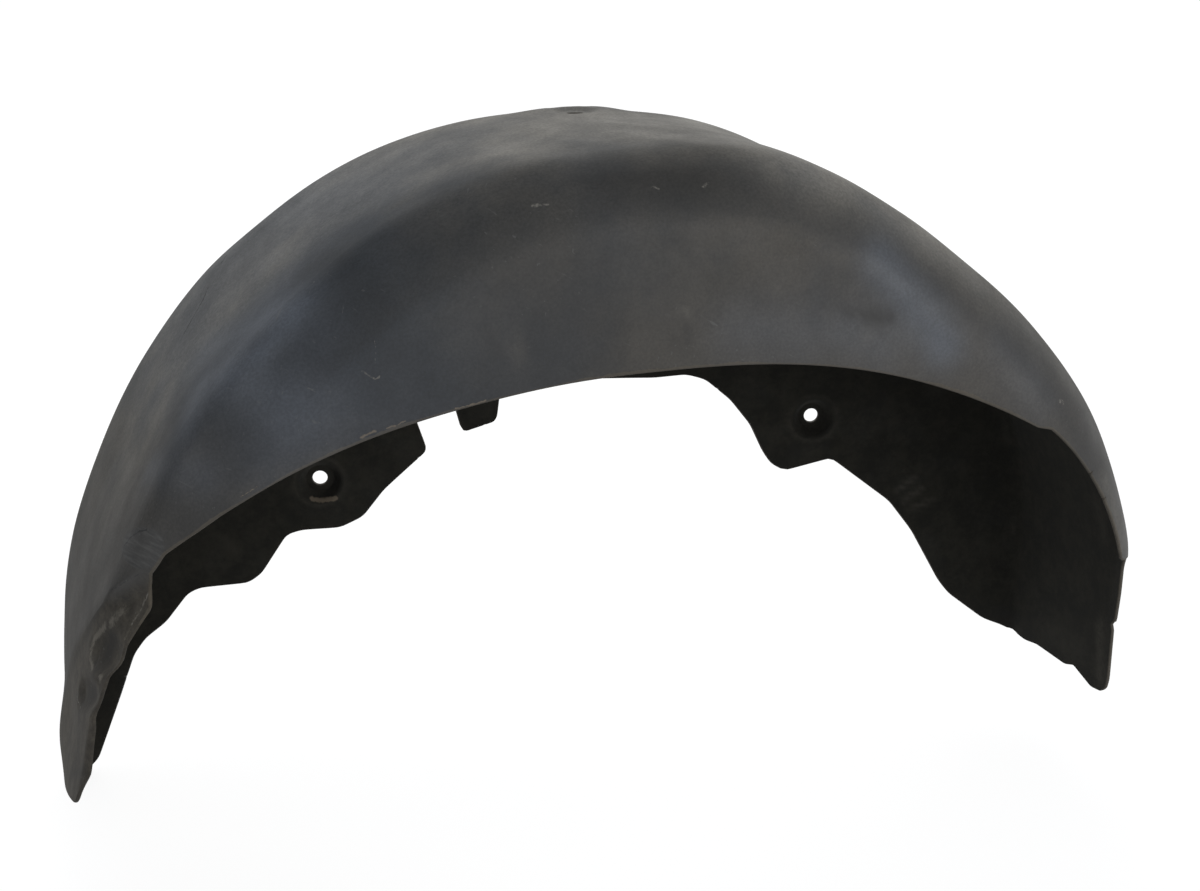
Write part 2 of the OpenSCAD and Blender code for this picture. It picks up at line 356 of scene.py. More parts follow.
def onto_line(a, v, past):
    """Moves grid points onto the line. Where past changes sign between two ends of an edge, the
    line is at the share past0 / (past0 - past1), and the nearer end takes that place."""
    new_a, new_v, moved = a.copy(), v.copy(), np.full(a.shape, np.inf)
    for da, dv in ((1, 0), (0, 1), (1, 1)):
        low = (slice(0, a.shape[0] - da), slice(0, a.shape[1] - dv))
        high = (slice(da, None), slice(dv, None))
        p0, p1 = past[low], past[high]
        with np.errstate(divide="ignore", invalid="ignore"):
            share = p0 / (p0 - p1)
        crosses = (p0 < 0) != (p1 < 0)
        for here, part in ((low, share), (high, 1 - share)):
            nearer = crosses & (part <= 0.5) & (part * math.hypot(da, dv) < moved[here])
            for new, old in ((new_a, a), (new_v, v)):
                place = old[low] + share * (old[high] - old[low])
                new[here] = np.where(nearer, place, new[here])
            moved[here] = np.where(nearer, part * math.hypot(da, dv), moved[here])
    return new_a, new_v, np.isfinite(moved)


snapped_a, snapped_v, on_line = onto_line(a, v, past)
index = np.arange(a.size).reshape(a.shape)
p00, p10, p11, p01 = index[:-1, :-1], index[1:, :-1], index[1:, 1:], index[:-1, 1:]
triangles = np.concatenate([np.stack([p00, p10, p11], -1), np.stack([p00, p11, p01], -1)])
triangles = triangles.reshape(-1, 3)
state = np.where(on_line, 0, np.sign(past)).ravel()[triangles]
kept = (state.max(1) <= 0) & (past.ravel()[triangles].mean(1) < 0.5)
triangles = triangles[kept]
used, triangles = np.unique(triangles, return_inverse=True)
triangles = triangles.reshape(-1, 3)
a, v = snapped_a.ravel()[used], snapped_v.ravel()[used]
outer, inner = sheet_points(a, v, 0), sheet_points(a, v, SHEET)
print(len(triangles), "triangles kept on each face of the sheet")

# %% [markdown]
# ## Rings of the dishes
# The edge of the round gap is now a loop of points on the sheet. Rings with the same number of
# points carry it down: in over the mouth, down the cone, across the floor and out at the bore.
# The middle line of the thin section is drawn once, and both faces are offset from it.

# %% Rings of the dishes
def dish_profile(deep, steps=5):
    """Radius, height and slope angle of the middle line, from the gap to the bore. The line is
    level, turns down through a bend, runs down the cone, and turns level again on the floor."""
    cone = math.atan2(deep, MOUTH_R - FLOOR_R)
    bend = min(3.0, 0.45 * deep / math.sin(cone)) * math.tan(cone / 2)
    half = bend / math.tan(cone / 2)
    turn = np.linspace(0, cone, steps + 1)
    top = MOUTH_R + bend
    r = [GAP_R - 1.0, *(top - half * np.sin(turn))]
    h = [0.0, *(half * (1 - np.cos(turn)))]
    slope = [0.0, *turn]
    floor_start = FLOOR_R - bend
    r += [*(floor_start + half * np.sin(turn[::-1]))]
    r += [(floor_start + BORE_R + RIM) / 2, BORE_R + RIM]
    h += [*(deep - half * (1 - np.cos(turn[::-1]))), deep, deep]
    slope += [*turn[::-1], 0.0, 0.0]
    return np.array(r), np.array(h), np.array(slope)


def edge_loop(triangles):
    """Directed edges that only one triangle has."""
    edges = np.concatenate([triangles[:, [0, 1]], triangles[:, [1, 2]], triangles[:, [2, 0]]])
    size = triangles.max() + 1
    code, back = edges[:, 0] * size + edges[:, 1], edges[:, 1] * size + edges[:, 0]
    return edges[~np.isin(code, back)]


open_edges = edge_loop(triangles)
for name, (middle, way, deep, hollow_inside) in dishes.items():
    mid = (outer + inner) / 2
    radius, height = from_axis(mid, middle, way)
    loop = np.unique(open_edges)
    loop = loop[(np.abs(height[loop]) < NEAR_DISH) & (radius[loop] < GAP_R + 3)]
    side = np.cross(way, [0, 0, 1.0] if abs(way[2]) < 0.9 else [0, 1.0, 0])
    side /= np.linalg.norm(side)
    other = np.cross(way, side)
    spoke = mid[loop] - middle
    angle = np.arctan2(spoke @ other, spoke @ side)
    order = np.argsort(angle)
    loop, angle = loop[order], angle[order]
    r, h, slope = dish_profile(deep)
    ring_r, ring_h, ring_slope = (values[:, None] for values in (r, h, slope))
    start = (mid[loop] - middle) @ way
    bent = smooth((ring_r - BORE_R) / (GAP_R - BORE_R))
    level = start[None, :] * bent + start.mean() * (1 - bent)
    spokes = np.cos(angle)[:, None] * side + np.sin(angle)[:, None] * other
    faces = []
    for offset in (-SHEET / 2, SHEET / 2):
        face_r = ring_r + offset * np.sin(ring_slope) + 0 * level
        face_h = level + ring_h + offset * np.cos(ring_slope)
        faces.append(middle + face_r[..., None] * spokes + face_h[..., None] * way)
    hollow, boss = (face.reshape(-1, 3) for face in faces)
    first = len(outer)
    rings, count = len(r), len(loop)
    outer = np.concatenate([outer, boss if hollow_inside else hollow])
    inner = np.concatenate([inner, hollow if hollow_inside else boss])
    ids = np.concatenate([loop[None], first + np.arange(rings * count).reshape(rings, count)])
    i0, i1 = ids[:-1], ids[1:]
    j0, j1 = np.roll(i0, -1, 1), np.roll(i1, -1, 1)
    strips = np.concatenate([np.stack([i0, i1, j1], -1), np.stack([i0, j1, j0], -1)]).reshape(-1, 3)
    # the sheet's own edges run along the loop one way, so the strips have to run the other way
    size = len(outer)
    ahead = np.isin(loop * size + np.roll(loop, -1), open_edges[:, 0] * size + open_edges[:, 1])
    if ahead.mean() < 0.5:
        strips = strips[:, ::-1]
    triangles = np.concatenate([triangles, strips])
    print(name, "dish:", rings, "rings of", count, "points")

# %% [markdown]
# ## Dents and swellings
# A used liner has been pulled about, so its sheet is no longer as true as its mould. Sculpting by
# hand would do it, but each dent here is only a soft round push along the sheet's own normal,
# which is a formula too, and both faces move together, so the sheet keeps its thickness.

# %% Dents and swellings
def vertex_normals(points, triangles):
    """Sum of the triangles' cross products at each point, brought to length 1."""
    p0, p1, p2 = (points[triangles[:, k]] for k in range(3))
    cross = np.cross(p1 - p0, p2 - p0)
    total = np.zeros_like(points)
    for k in range(3):
        np.add.at(total, triangles[:, k], cross)
    return total / np.linalg.norm(total, axis=1, keepdims=True)


normals = vertex_normals(outer, triangles)
if (normals * (outer - inner)).sum(1).mean() < 0:
    triangles, normals = triangles[:, ::-1], -normals
# (middle, radius, push outwards in mm)
pushes = [
    ((-256, 112, 271), 36, 3.2), ((-198, 120, 318), 60, -1.6), ((-105, 120, 364), 45, -2.0),
    ((60, 90, 381), 45, -1.4), ((118, -65, 366), 38, 1.6), ((192, -94, 326), 34, -2.0),
    ((268, -40, 273), 80, 1.2), ((-335, 60, 165), 90, -2.0), ((385, -90, 120), 55, -1.3),
    ((-397, 125, -15), 50, 1.8), ((402, -100, 52), 26, 2.0), ((-40, -125, 300), 120, -1.2),
    ((150, -126, 290), 60, 0.8), ((-140, -110, 320), 60, 0.8), ((5, 130, 378), 70, -1.6),
]
push = np.zeros(len(outer))
for middle, radius, amount in pushes:
    push += amount * np.exp(-((np.linalg.norm(outer - middle, axis=1) / radius) ** 2))

# the dents of the flap are nearly round in the camera's view, so they are set out in its frame
# (u, v, half width, half height, push outwards in mm, flatness: 2 is a bell, 4 is a flat dish)
flap_dents = [
    (107, 652, 13, 19, -4.2, 4), (86, 694, 11, 15, -3.8, 4), (130, 604, 9, 9, -1.6, 2),
    (99, 676, 8, 7, 2.4, 2), (121, 618, 8, 6, 1.6, 2), (95, 717, 6, 8, 1.8, 2),
    (92, 650, 5, 14, 1.5, 2), (143, 549, 21, 22, -0.8, 6),
]

def in_picture(points):
    """Place (u, v) of each point in the camera's frame: f x / -z and f y / z from its middle."""
    right, above, depth = (((points - ORIGIN) / 1000 - np.array(camera.location)) @ turn_camera).T
    return FRAME_W / 2 - PIXELS * right / depth, FRAME_H / 2 + PIXELS * above / depth


x, y, z = outer.T
seen_u, seen_v = in_picture(outer)
on_flap = (x < -250) & (y < -30)
for u, v, half_u, half_v, amount, flatness in flap_dents:
    distance = np.hypot((seen_u - u) / half_u, (seen_v - v) / half_v)
    push += amount * np.exp(-(distance**flatness)) * on_flap
# the whole sheet is also slightly wavy: a few long sines that don't line up
wave = np.array([[0.021, 0.034, 0.017], [0.047, -0.023, 0.038], [-0.031, 0.052, 0.044]])
push += (np.sin(outer @ wave.T + [0.3, 1.7, 4.1]) * [0.35, 0.25, 0.2]).sum(1)
near_dish = np.min([np.abs(np.linalg.norm(outer - d[0], axis=1)) for d in dishes.values()], 0)
push *= smooth((near_dish - 24) / 30)
# at the inboard side and at the very top nothing swells out past the mould's own size
at_limit = np.maximum(smooth((y - 145) / 18), smooth((z - 378) / 5))
push -= np.maximum(push, 0) * at_limit
# and behind the crown's dish the crown has sunk a little
sunk = 2.4 * smooth((y - 112) / 24) * np.exp(-(((x - hole_x) / 75) ** 2))
push -= sunk * (z > 330)
outer, inner = outer + normals * push[:, None], inner + normals * push[:, None]
normals = vertex_normals(outer, triangles)
print("pushed by", round(push.min(), 2), "to", round(push.max(), 2), "mm")

# %% [markdown]
# ## The rim
# A trimmed edge of plastic sheet is never quite square: it is worn round. Both faces share one
# set of triangles, so the open edges of that set are the rims, of the trim lines and of the
# bores alike. A half-round strip joins the two faces along them.

# %% The rim
rim_edges = edge_loop(triangles)
rim_points = np.unique(rim_edges)
thick = (outer - inner) / np.linalg.norm(outer - inner, axis=1, keepdims=True)
tangent = np.zeros_like(outer)
along_edge = outer[rim_edges[:, 1]] - outer[rim_edges[:, 0]]
np.add.at(tangent, rim_edges[:, 0], along_edge)
np.add.at(tangent, rim_edges[:, 1], along_edge)
away = np.cross(tangent, normals)[rim_points]
away /= np.linalg.norm(away, axis=1, keepdims=True)
print(len(rim_edges), "edges of rim")

total = len(outer)
half = ((outer - inner) / 2)[rim_points]
centre = ((outer + inner) / 2)[rim_points]
rim_angles = np.radians([52, 17, -17, -52])
rings = [centre + half * math.sin(t) + away * RIM * math.cos(t) for t in rim_angles]
ring_normals = [thick[rim_points] * math.sin(t) + away * math.cos(t) for t in rim_angles]
where = np.full(total, -1)
where[rim_points] = np.arange(len(rim_points))
levels = [np.arange(total)] + [
    np.where(where >= 0, 2 * total + k * len(rim_points) + where, -1) for k in range(len(rings))
] + [np.arange(total) + total]
strips = []
for upper, lower in zip(levels[:-1], levels[1:]):
    i, j = rim_edges[:, 0], rim_edges[:, 1]
    strips.append(np.stack([upper[j], upper[i], lower[i]], -1))
    strips.append(np.stack([upper[j], lower[i], lower[j]], -1))
faces = np.concatenate([triangles, triangles[:, ::-1] + total, *strips])
points = np.concatenate([outer, inner, *rings])
inner_normals = -vertex_normals(inner, triangles)
all_normals = np.concatenate([normals, inner_normals, *ring_normals])
print(len(points), "points and", len(faces), "triangles")

# %% The liner's mesh
def make_piece(name, points, faces, normals):
    """A mesh object at the origin, from points in millimetres round the arch's centre."""
    mesh = bpy.data.meshes.new(name)
    mesh.from_pydata(((points - ORIGIN) / 1000).tolist(), [], faces.tolist())
    mesh.shade_smooth()
    mesh.normals_split_custom_set_from_vertices(normals.tolist())
    mesh.validate()
    return put_in_scene(name, mesh)


liner = make_piece("liner_shell", points, faces, all_normals)
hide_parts("arch_liner")
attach(liner, "root")

# %% [markdown]
# ## What the finish needs to know
# Dust, scuffs and bare edges follow the shape, and a shader can't measure that by itself. So each
# point carries a few numbers: how far it is from the nearest trimmed edge, whether it is on the
# rim or on the wheel's side, how thick the dust lies there, with painted shade and a painted
# highlight in that amount, and how brown that dust is. A vertex attribute is the plain way to hand
# them on.

# %% Attributes of the sheet
def give(piece, name, values):
    """One number for each point, under a name that a material can read."""
    attribute = piece.data.attributes.new(name, "FLOAT", "POINT")
    attribute.data.foreach_set("value", values.astype(np.float32))


x, y, z = points.T
seen_u, seen_v = in_picture(points)
side = np.repeat([0, 1, 2], [total, total, len(points) - 2 * total])
wheel_side, is_rim = (side == 1).astype(float), (side == 2).astype(float)
# the lower part of the flap's edge is neither burred nor rubbed, and little dust sticks to it
low_on_flap = (x < -280) * smooth((seen_v - 618) / 36)
from_edge = np.clip(-past_trim(outer), 0, 60)
from_edge = np.concatenate([from_edge, from_edge, np.zeros(len(points) - 2 * total)])
on_rim = is_rim * (1 - 0.8 * smooth((y + 90) / 60)) * (1 - 0.9 * low_on_flap)

# the film is thick on the crown, thin on the shoulder and thin again on the wall, where it is least
# a little left of the middle and less again at the right. Its thinness on the shoulder is painted
# shade for the shoulder's dark band, and right of the middle the crown's film is thicker and
# reaches down towards the shoulder as a painted highlight along that edge
to_left = smooth((-30 - x) / 150)
to_right = smooth((x - 40) / 90) - 0.55 * smooth((x - 200) / 100)
dust_start = 50 * to_left - 20 * to_right - 148
dust_width = 130 + 15 * to_left - 30 * to_right
on_crown = smooth((y - dust_start) / dust_width)
on_wall = smooth((-all_normals[:, 1] - 0.93) / 0.07)
wall_film = 0.95 - 0.65 * np.exp(-(((x + 90) / 90) ** 2)) - 0.25 * smooth((x - 120) / 100)
dust_and_painted_light = 0.30 + 0.08 * to_left + (0.75 - 0.22 * to_left + 0.35 * to_right) * on_crown
dust_and_painted_light = (dust_and_painted_light + wall_film * on_wall) * (1 - wheel_side) * (1 - 0.8 * low_on_flap * is_rim)
# the film is bluish on the long leg's side, neutral past the middle and brown low on both legs
brownness = 0.30 * smooth((x + 180) / 220) + 0.6 * smooth((240 - z) / 200)
brownness += 0.4 * smooth((x - 290) / 90)

for name, values in (("edge_mm", from_edge + 8 * low_on_flap), ("rim", on_rim),
                     ("wheel_side", wheel_side), ("dust_and_painted_light", dust_and_painted_light), ("on_crown", on_crown),
                     ("brownness", brownness)):
    give(liner, name, values)
    print(name, "from", round(values.min(), 2), "to", round(values.max(), 2))

# %% [markdown]
# ## Shader groups
# Several effects come back in more than one place, so each is a node group with named sockets.
# A small helper keeps the making of nodes short: it sets inputs by name and links what is a socket.

# %% Helpers for nodes
def fill(tree, socket, value):
    """Sets a socket to a number or a colour, or links another socket to it."""
    if isinstance(value, bpy.types.NodeSocket):
        tree.links.new(value, socket)
    else:
        socket.default_value = value


def add_node(tree, kind, settings=None, **inputs):
    """A node of a kind, with its settings, and each input either set or linked."""
    node = tree.nodes.new(kind)
    for key, value in (settings or {}).items():
        setattr(node, key, value)
    for key, value in inputs.items():
        by_number = key[0] == "i" and key[1:].isdigit()
        fill(tree, node.inputs[int(key[1:]) if by_number else key.replace("_", " ")], value)
    return node


def maths(tree, operation, *values, clamp=False):
    """The result of one Math node."""
    node = add_node(tree, "ShaderNodeMath", {"operation": operation, "use_clamp": clamp},
                    **{f"i{k}": value for k, value in enumerate(values)})
    return node.outputs[0]


def vectors(tree, operation, *values):
    """The vector or number that one Vector Math node gives."""
    inputs = {f"i{k}": value for k, value in enumerate(values)}
    if operation == "SCALE":
        inputs = {"i0": values[0], "Scale": values[1]}
    node = add_node(tree, "ShaderNodeVectorMath", {"operation": operation}, **inputs)
    return node.outputs["Value" if operation in ("LENGTH", "DISTANCE", "DOT_PRODUCT") else "Vector"]


def ramp(tree, value, low, high, to_low=0.0, to_high=1.0):
    """A soft step of a value from low to high."""
    node = add_node(tree, "ShaderNodeMapRange", {"interpolation_type": "SMOOTHSTEP"},
                    Value=value, From_Min=low, From_Max=high, To_Min=to_low, To_Max=to_high)
    return node.outputs["Result"]


def noise(tree, vector, scale, detail=3.0, roughness=0.55):
    """The value of a Noise Texture."""
    node = add_node(tree, "ShaderNodeTexNoise", None, Vector=vector, Scale=scale, Detail=detail,
                    Roughness=roughness)
    return node.outputs["Fac"]


def blend(tree, share, first, second):
    """The mix of two colours."""
    node = add_node(tree, "ShaderNodeMix", {"data_type": "RGBA"})
    for name, value in (("Factor", share), ("A", first), ("B", second)):
        fill(tree, [s for s in node.inputs if s.name == name and s.enabled][0], value)
    return [s for s in node.outputs if s.enabled][0]


def new_group(name, inputs, outputs):
    """An empty group with its sockets: inputs as (name, type, default), outputs as (name, type)."""
    group = bpy.data.node_groups.new(name, "ShaderNodeTree")
    for socket_name, kind, default in inputs:
        socket = group.interface.new_socket(socket_name, in_out="INPUT", socket_type=kind)
        socket.default_value = default
    for socket_name, kind in outputs:
        group.interface.new_socket(socket_name, in_out="OUTPUT", socket_type=kind)
    given, result = group.nodes.new("NodeGroupInput"), group.nodes.new("NodeGroupOutput")
    return group, given.outputs, result.inputs


FLOAT, VECTOR = "NodeSocketFloat", "NodeSocketVector"

# %% [markdown]
# A stroke is the mark that most damage leaves: a rub, a scratch or a nick has two ends and a
# width. The distance of a point from the line between the ends gives it, with a frayed border.

# %% Group: stroke
stroke, given, result = new_group(
    "stroke", [("Place", VECTOR, (0, 0, 0)), ("Start", VECTOR, (0, 0, 0)),
               ("End", VECTOR, (0, 0, 0)), ("Width", FLOAT, 0.002), ("Softness", FLOAT, 0.5)],
    [("Mask", FLOAT)])
from_start = vectors(stroke, "SUBTRACT", given["Place"], given["Start"])
whole = vectors(stroke, "SUBTRACT", given["End"], given["Start"])
length2 = maths(stroke, "MAXIMUM", vectors(stroke, "DOT_PRODUCT", whole, whole), 1e-9)
reached = vectors(stroke, "DOT_PRODUCT", from_start, whole)
share = maths(stroke, "DIVIDE", reached, length2, clamp=True)
nearest = vectors(stroke, "SCALE", whole, share)
gap = vectors(stroke, "DISTANCE", from_start, nearest)
hard_part = maths(stroke, "SUBTRACT", 1.0, given["Softness"])
inside = maths(stroke, "MULTIPLY", given["Width"], hard_part)
stroke.links.new(ramp(stroke, gap, given["Width"], inside), result["Mask"])
print("group", stroke.name, "with", len(stroke.nodes), "nodes")

# %% [markdown]
# Dust settles on what faces up and stays where no hand or tyre has wiped it. Its film is cloudy
# at a hand's breadth and speckled at a millimetre.

# %% Group: dust film
dust_film, given, result = new_group(
    "dust_film", [("Place", VECTOR, (0, 0, 0)), ("Up", FLOAT, 0.0), ("Amount", FLOAT, 0.5)],
    [("Mask", FLOAT)])
clouds = noise(dust_film, given["Place"], 7.0, 5.0, 0.6)
speckle = noise(dust_film, given["Place"], 420.0, 2.0, 0.6)
settled = ramp(dust_film, given["Up"], -0.25, 1.0, 0.30, 1.0)
patchy = ramp(dust_film, clouds, 0.25, 0.75, 0.62, 1.0)
dotted = ramp(dust_film, speckle, 0.3, 0.7, 0.88, 1.08)
lying = maths(dust_film, "MULTIPLY", maths(dust_film, "MULTIPLY", settled, patchy), dotted)
lying = maths(dust_film, "MULTIPLY", lying, given["Amount"], clamp=True)
dust_film.links.new(lying, result["Mask"])

# %% [markdown]
# A trimmed edge is burred and rubbed pale. The rub reaches a few millimetres on to the face, far
# at some places and hardly at all at others.

# %% Group: edge wear
edge_wear, given, result = new_group(
    "edge_wear", [("Place", VECTOR, (0, 0, 0)), ("Edge", FLOAT, 60.0), ("Reach", FLOAT, 4.0)],
    [("Mask", FLOAT)])
where_rubbed = ramp(edge_wear, noise(edge_wear, given["Place"], 14.0, 3.0, 0.6), 0.42, 0.66)
frayed = noise(edge_wear, given["Place"], 260.0, 3.0, 0.7)
reach_here = maths(edge_wear, "MULTIPLY", given["Reach"],
                   maths(edge_wear, "MULTIPLY", where_rubbed, frayed))
worn = maths(edge_wear, "SUBTRACT", maths(edge_wear, "ADD", reach_here, 0.35), given["Edge"])
edge_wear.links.new(ramp(edge_wear, worn, -0.3, 0.6), result["Mask"])

# %% [markdown]
# Fine scratches run every way over a part that has lain in a heap. Stretching a noise along one
# axis gives hair-thin streaks, and two such fields turned against each other cross like scratches.

# %% Group: hair scratches
hair, given, result = new_group(
    "hair_scratches", [("Place", VECTOR, (0, 0, 0)), ("Amount", FLOAT, 0.3)], [("Mask", FLOAT)])
masks = []
for turn in ((0.3, 0.5, 0.2), (0.1, -0.7, 1.1), (0.9, 0.2, -0.9)):
    turned = add_node(hair, "ShaderNodeMapping", {"vector_type": "TEXTURE"}, Vector=given["Place"],
                      Rotation=turn, Scale=(1.0, 0.035, 0.035))
    thin = noise(hair, turned.outputs["Vector"], 10.0, 2.0, 0.5)
    masks.append(ramp(hair, thin, 0.70, 0.76))
strongest = maths(hair, "MAXIMUM", maths(hair, "MAXIMUM", masks[0], masks[1]), masks[2])
here_and_there = ramp(hair, noise(hair, given["Place"], 11.0, 2.0), 0.45, 0.65)
scratched = maths(hair, "MULTIPLY", strongest, here_and_there)
scratched = maths(hair, "MULTIPLY", scratched, given["Amount"])
hair.links.new(scratched, result["Mask"])
print("groups:", [group.name for group in bpy.data.node_groups])

# %% [markdown]
# ## Places of the marks
# Each mark was found in the photograph, as a place in its 1200 by 891 frame. A ray from
# the camera through that place meets the shell where the mark really lies, so that it stays on
# the plastic when it is seen from any other side.

# %% From the picture's frame on to the shell
from mathutils.bvhtree import BVHTree

shell = BVHTree.FromPolygons(((points - ORIGIN) / 1000).tolist(), faces.tolist())


def cast(u, v):
    """The point, normal and face number of the shell that the camera sees at (u, v)."""
    ray = turn_camera @ [(u - FRAME_W / 2) / PIXELS, (FRAME_H / 2 - v) / PIXELS, -1]
    hit = shell.ray_cast(camera.location, Vector(ray).normalized())
    if hit[0] is None:
        raise ValueError(f"no shell at {u}, {v}")
    return hit


# (places along the mark, half width in mm, softness)
pale_marks = [
    ([(533, 206), (547, 204)], 1.4, 0.9), ([(652, 187), (655, 187), (659, 189)], 1.1, 0.95),
    ([(703, 187), (705, 185), (709, 183)], 1.1, 0.95), ([(1060, 401), (1063, 402)], 2.2, 0.7),
    ([(362, 371), (375, 379), (379, 377)], 0.9, 0.8), ([(376, 340), (375, 366)], 0.35, 0.9),
    ([(148, 593), (143, 605), (132, 624)], 1.0, 1.0), ([(78, 686), (77, 696), (80, 709)], 0.9, 1.0),
]
brown_marks = [
    ([(361, 437), (375, 431)], 1.2, 0.8), ([(386, 428.5), (406, 421.5)], 0.8, 0.8),
    ([(456, 408.5), (486, 400.5)], 0.8, 0.8), ([(241, 497), (257, 487)], 0.5, 0.8),
    ([(312, 498.5), (322, 500), (335, 498.5)], 2.9, 0.6),
]
# dark lines: painted shade in the slit of the crack and along the faint crease at the upper left,
# and a dark arc along the pad's edge
shade_and_dark_lines = [
    ([(111, 590), (123, 583), (138, 575)], 0.7, 0.7),
    ([(122, 558), (124, 546), (130, 538), (138, 532), (147, 530)], 0.9, 0.9),
    ([(226, 256), (203, 300), (184, 334)], 1.3, 1.0),
]
print("strokes in", sum(map(len, (pale_marks, brown_marks, shade_and_dark_lines))), "marks")

# %% [markdown]
# A cloud of dust, a rubbed patch, a patch of painted sheen or of painted shade has no border, so
# it doesn't need a shader for each. The sheet's own points are close enough to carry them: each
# patch is a bell round one or more places, and the bells of a kind are added up in one attribute.
# It reaches only the side of the sheet it lies on.

# %% Soft patches
# kind: (places, radius in mm, amount)
patches = {
    "rubbed": [
        ([(514, 342), (519, 358)], 6, 0.35), ([(682, 310), (687, 312), (688, 320)], 3, 0.6),
        ([(866, 335)], 6, 0.3), ([(440, 208), (470, 196)], 22, 0.35),
        ([(1064, 372), (1046, 344)], 14, 0.5), ([(640, 250), (700, 262)], 30, 0.18),
        ([(430, 300), (470, 320)], 32, 0.14),
        ([(72, 786)], 9, 0.5), ([(111, 570), (90, 620)], 9, 0.3), ([(139, 610)], 5, 0.4),
        ([(898, 490), (914, 478)], 2.5, 1.0), ([(903, 501), (922, 488)], 2.5, 1.0),
        ([(911, 509), (931, 500)], 2.5, 0.8), ([(1100, 626), (1100, 676)], 7, 1.0),
        ([(1104, 480), (1117, 522), (1121, 548)], 8, 0.8), ([(1050, 630), (1080, 650)], 14, 0.35),
        ([(1096, 500), (1106, 540)], 6, 0.5), ([(226, 540), (236, 552)], 4, 0.3),
        ([(160, 350), (150, 380)], 16, 0.3), ([(262, 245), (240, 268)], 16, 0.25),
        ([(144, 549)], 13, 0.25),
    ],
    "scuffed": [
        ([(105, 626), (94, 639), (90, 656), (92, 670)], 3.2, 0.75),
        ([(124, 612), (110, 625)], 4.5, 0.65),
        ([(100, 678)], 5.0, 0.75), ([(95, 713), (90, 722)], 3.5, 0.75),
        ([(146, 596), (124, 640)], 3.0, 0.40),
        ([(112, 600), (128, 596)], 6.0, 0.25), ([(84, 740), (78, 720)], 4.0, 0.25),
        ([(74, 790), (72, 796)], 4.0, 0.5), ([(72, 782)], 8.0, 0.35),
        ([(72, 688), (72, 706)], 3.0, 0.35),
        ([(152, 568), (146, 580)], 5.0, 0.3), ([(514, 342), (519, 356)], 4.0, 0.25),
    ],
    "stains_and_shade": [
        # the two patches here darken the flap's two dents: painted shade
        ([(107, 656), (114, 640)], 10, 1.0), ([(89, 694), (96, 694)], 10, 1.0),
        ([(1004, 616)], 12, 0.8),
        ([(852, 313), (893, 317)], 3.0, 0.7), ([(868, 321), (890, 321)], 5.0, 0.4),
        ([(688, 322), (688, 340)], 3.5, 0.55), ([(675, 345), (686, 352)], 7.0, 0.35),
        ([(845, 309), (850, 320)], 3.0, 0.4), ([(820, 306), (893, 308)], 2.0, 0.35),
        ([(82, 700), (78, 752)], 10, 0.5), ([(84, 770), (70, 774)], 4, 0.6), ([(128, 601)], 7, 0.3),
        # the next three lines mix real stains with painted shade along the shoulder's dark band,
        # the faint crease at the upper left and the flap's crease
        ([(520, 175), (700, 178)], 14, 0.3), ([(400, 225), (300, 280)], 12, 0.15),
        ([(486, 330), (497, 352)], 5, 0.35), ([(226, 262), (186, 332)], 16, 0.10),
        ([(98, 612), (86, 636), (72, 668)], 3.5, 0.5), ([(610, 185), (700, 190)], 18, 0.25),
        ([(880, 316)], 12, 0.35), ([(250, 420), (300, 400)], 22, 0.2),
    ],
    # painted sheen: lighter bluish patches painted on the wall where it mirrors a bright window, a
    # painted reflection
    "painted_sheen": [
        ([(205, 352), (262, 320), (302, 300)], 22, 0.55), ([(200, 385), (188, 425)], 16, 0.5),
        ([(226, 372), (284, 404)], 24, 0.75), ([(262, 352), (288, 322)], 10, 0.5),
        ([(150, 468), (200, 475)], 15, 0.35), ([(275, 290), (320, 335)], 24, 0.3),
        ([(882, 262), (900, 286), (928, 318), (944, 344)], 18, 0.95),
        ([(850, 330), (880, 345)], 20, 0.4), ([(740, 330), (800, 335)], 24, 0.3),
        ([(260, 455), (330, 415)], 24, 0.25),
        ([(1000, 350), (1040, 400)], 18, 0.25),
    ],
}


def patch_field(marks):
    """Sum over the marks of amount times a bell of the distance from the mark's middle line."""
    field = np.zeros(len(points))
    for places, radius, amount in marks:
        hits = [cast(*place) for place in places]
        middles = np.array([hit[0] for hit in hits]) * 1000 + ORIGIN
        on_outside = hits[0][2] < len(triangles)
        starts, ends = middles[:-1], middles[1:]
        if len(middles) == 1:
            starts, ends = middles, middles
        way = ends - starts
        share = ((points[:, None] - starts) * way).sum(-1) / np.maximum((way**2).sum(-1), 1e-9)
        nearest = starts + np.clip(share, 0, 1)[..., None] * way
        gap = np.linalg.norm(points[:, None] - nearest, axis=-1).min(1)
        side = 1 - wheel_side if on_outside else wheel_side
        field += amount * np.exp(-((gap / radius) ** 2)) * side
    return np.clip(field, 0, 1)


# a worn ring shows where the large washer of a fastener sat round each of the wall's dishes
WASHER_R, NUT_R = 20.5, 12.5
washer_ring = np.zeros(len(points))
for middle, way, _, hollow_inside in dishes.values():
    radius, height = from_axis(points, middle, way)
    bell = np.exp(-(((radius - WASHER_R) / 1.8) ** 2)) + 0.6 * np.exp(-((radius - NUT_R) ** 2))
    washer_ring += bell * (np.abs(height) < 20) * hollow_inside * wheel_side

for name, marks in patches.items():
    field = patch_field(marks)
    if name == "rubbed":
        field = np.clip(field + 0.4 * washer_ring, 0, 1)
    give(liner, name, field)
    print(name, "covers", round(100 * (field > 0.1).mean(), 1), "per cent of the points")

# below the slanting crack the flap was folded and scraped, and less dust lies on it
below_crack = smooth((CRACK_TOP + 4 - CRACK_SLANT * (y - CREASE_Y) - z) / 16)
flap_side = smooth((crease_y(z) + 6 - y) / 12)
give(liner, "flap", below_crack * flap_side * (x < -290) * (1 - wheel_side))

